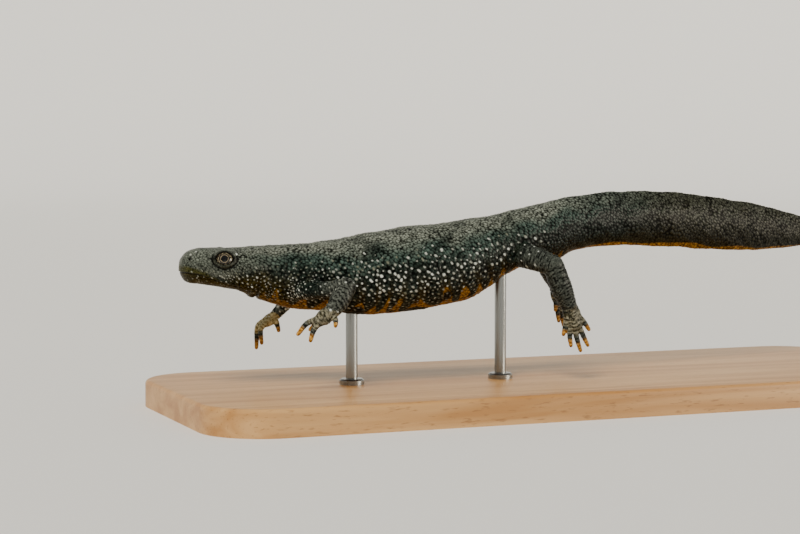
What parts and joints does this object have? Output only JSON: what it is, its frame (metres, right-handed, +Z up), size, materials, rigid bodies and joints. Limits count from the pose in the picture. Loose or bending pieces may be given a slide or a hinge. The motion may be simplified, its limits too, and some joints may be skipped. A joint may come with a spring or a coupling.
{
  "type": "great crested newt",
  "caption": "Life-size still model of a great crested newt with warty dark skin and an orange belly, swimming just above a plain wooden display stand",
  "frame": {"origin": "middle of the underside of the stand's base", "axes": "+X runs from the newt's snout to its tail along the base's length, +Y is away from the picture's camera, towards the newt's right side, +Z is up"},
  "size_m": [0.152, 0.058, 0.0403],
  "materials": {
    "slate_skin": "warty slate-black skin with a damp sheen",
    "throat_skin": "brown skin stippled white, with a damp sheen",
    "eye": "glossy golden eye with a black pupil",
    "beech": "oiled pale beech",
    "steel": "satin"
  },
  "bodies": {
    "root": {"head": "slate_skin", "lower_jaw": "throat_skin", "eye_left": "eye", "eye_right": "eye", "neck": "slate_skin", "chest": "slate_skin", "belly": "slate_skin", "loin": "slate_skin", "pelvis": "slate_skin", "tail_root": "slate_skin", "tail_middle": "slate_skin", "tail_end": "slate_skin", "upper_arm_left": "slate_skin", "forearm_left": "slate_skin", "hand_left": "slate_skin", "upper_arm_right": "slate_skin", "forearm_right": "slate_skin", "hand_right": "slate_skin", "thigh_left": "slate_skin", "shank_left": "slate_skin", "foot_left": "slate_skin", "thigh_right": "slate_skin", "shank_right": "slate_skin", "foot_right": "slate_skin", "stand_base": "beech", "stand_rod_front": "steel", "stand_rod_rear": "steel"}
  },
  "joints": []
}
